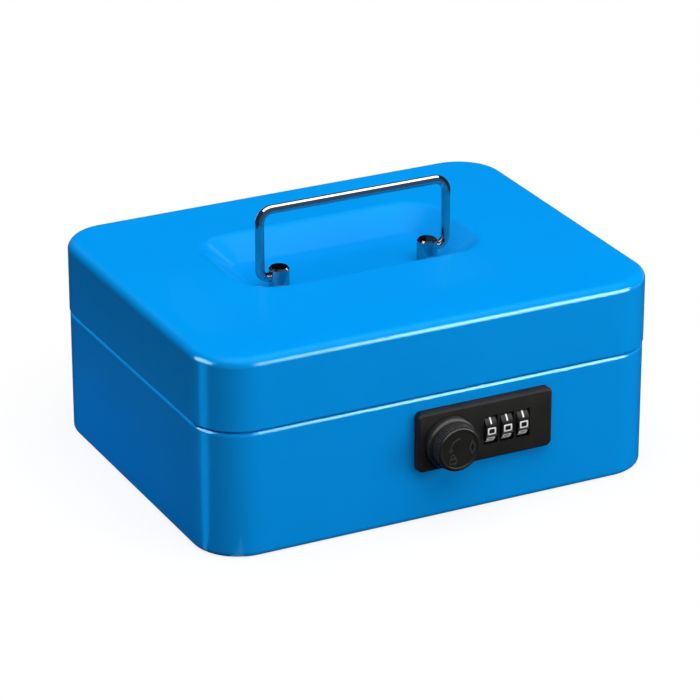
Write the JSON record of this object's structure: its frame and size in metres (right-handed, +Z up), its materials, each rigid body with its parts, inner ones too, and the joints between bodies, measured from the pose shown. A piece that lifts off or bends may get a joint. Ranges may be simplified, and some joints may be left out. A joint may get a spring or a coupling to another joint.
{
  "type": "cash box",
  "caption": "Blue sheet-steel cash box with a hinged lid, folding chrome bail handle, coin tray and a front combination lock with number dials and a knurled knob.",
  "frame": {"origin": "middle of the flat underside, below the centre of the shell", "axes": "+X across the width to the right of someone facing the lock, -Y out of the front, +Z up"},
  "size_m": [0.2006, 0.1693, 0.1126],
  "materials": {
    "shell": "gloss blue powder coat",
    "chrome": "polished chrome plate",
    "lock_plastic": "satin black moulding",
    "knob_plastic": "semi-gloss black moulding",
    "dial_plastic": "black moulding with white numbers",
    "tray_plastic": "grained black moulding",
    "zinc_steel": "bright zinc plate",
    "hub_brass": "blackened brass"
  },
  "bodies": {
    "base": {"base_shell": "shell", "base_hinge_leaf_left": "shell", "base_hinge_leaf_right": "shell", "hinge_pin_left": "zinc_steel", "hinge_pin_right": "zinc_steel", "lock_body": "lock_plastic", "lock_cover": "lock_plastic", "lock_screws": "zinc_steel", "cover_screws": "zinc_steel", "dial_axle": "zinc_steel", "fence_bar": "zinc_steel", "fence_spring": "zinc_steel", "detent_spring": "zinc_steel"},
    "lid": {"lid_shell": "shell", "lid_hinge_leaf_left": "shell", "lid_hinge_leaf_right": "shell", "striker": "zinc_steel", "handle_post_left": "chrome", "handle_post_right": "chrome", "post_washers": "zinc_steel"},
    "handle": {"handle_bail": "chrome"},
    "knob": {"lock_knob": "knob_plastic", "knob_spindle": "zinc_steel", "latch_cam": "zinc_steel", "cam_screw": "zinc_steel"},
    "dial_left": {"number_dial_1": "dial_plastic", "code_hub_1": "hub_brass"},
    "dial_middle": {"number_dial_2": "dial_plastic", "code_hub_2": "hub_brass"},
    "dial_right": {"number_dial_3": "dial_plastic", "code_hub_3": "hub_brass"},
    "tray": {"coin_tray": "tray_plastic"},
    "code_slide": {"code_change_slide": "knob_plastic"}
  },
  "joints": [
    {"name": "lid_hinge", "type": "hinge", "parent": "base", "child": "lid", "pos_m": [0, 0.076, 0.0521], "axis": [-1, 0, 0], "range_deg": [0, 100]},
    {"name": "handle_swing", "type": "hinge", "parent": "lid", "child": "handle", "pos_m": [0, 0, 0.0816], "axis": [-1, 0, 0], "range_deg": [-71, 96]},
    {"name": "knob_turn", "type": "hinge", "parent": "base", "child": "knob", "pos_m": [0.001, -0.082, 0.0344], "axis": [0, 1, 0], "range_deg": [0, 90]},
    {"name": "dial_left_turn", "type": "hinge", "parent": "base", "child": "dial_left", "pos_m": [0.02705, -0.0766, 0.0356], "axis": [1, 0, 0], "continuous": true},
    {"name": "dial_middle_turn", "type": "hinge", "parent": "base", "child": "dial_middle", "pos_m": [0.02705, -0.0766, 0.0356], "axis": [1, 0, 0], "continuous": true},
    {"name": "dial_right_turn", "type": "hinge", "parent": "base", "child": "dial_right", "pos_m": [0.02705, -0.0766, 0.0356], "axis": [1, 0, 0], "continuous": true},
    {"name": "tray_lift", "type": "slide", "parent": "base", "child": "tray", "axis": [0, 0, 1], "range_m": [0, 0.008]},
    {"name": "code_slide_travel", "type": "slide", "parent": "base", "child": "code_slide", "axis": [1, 0, 0], "range_m": [0, 0.003]}
  ]
}
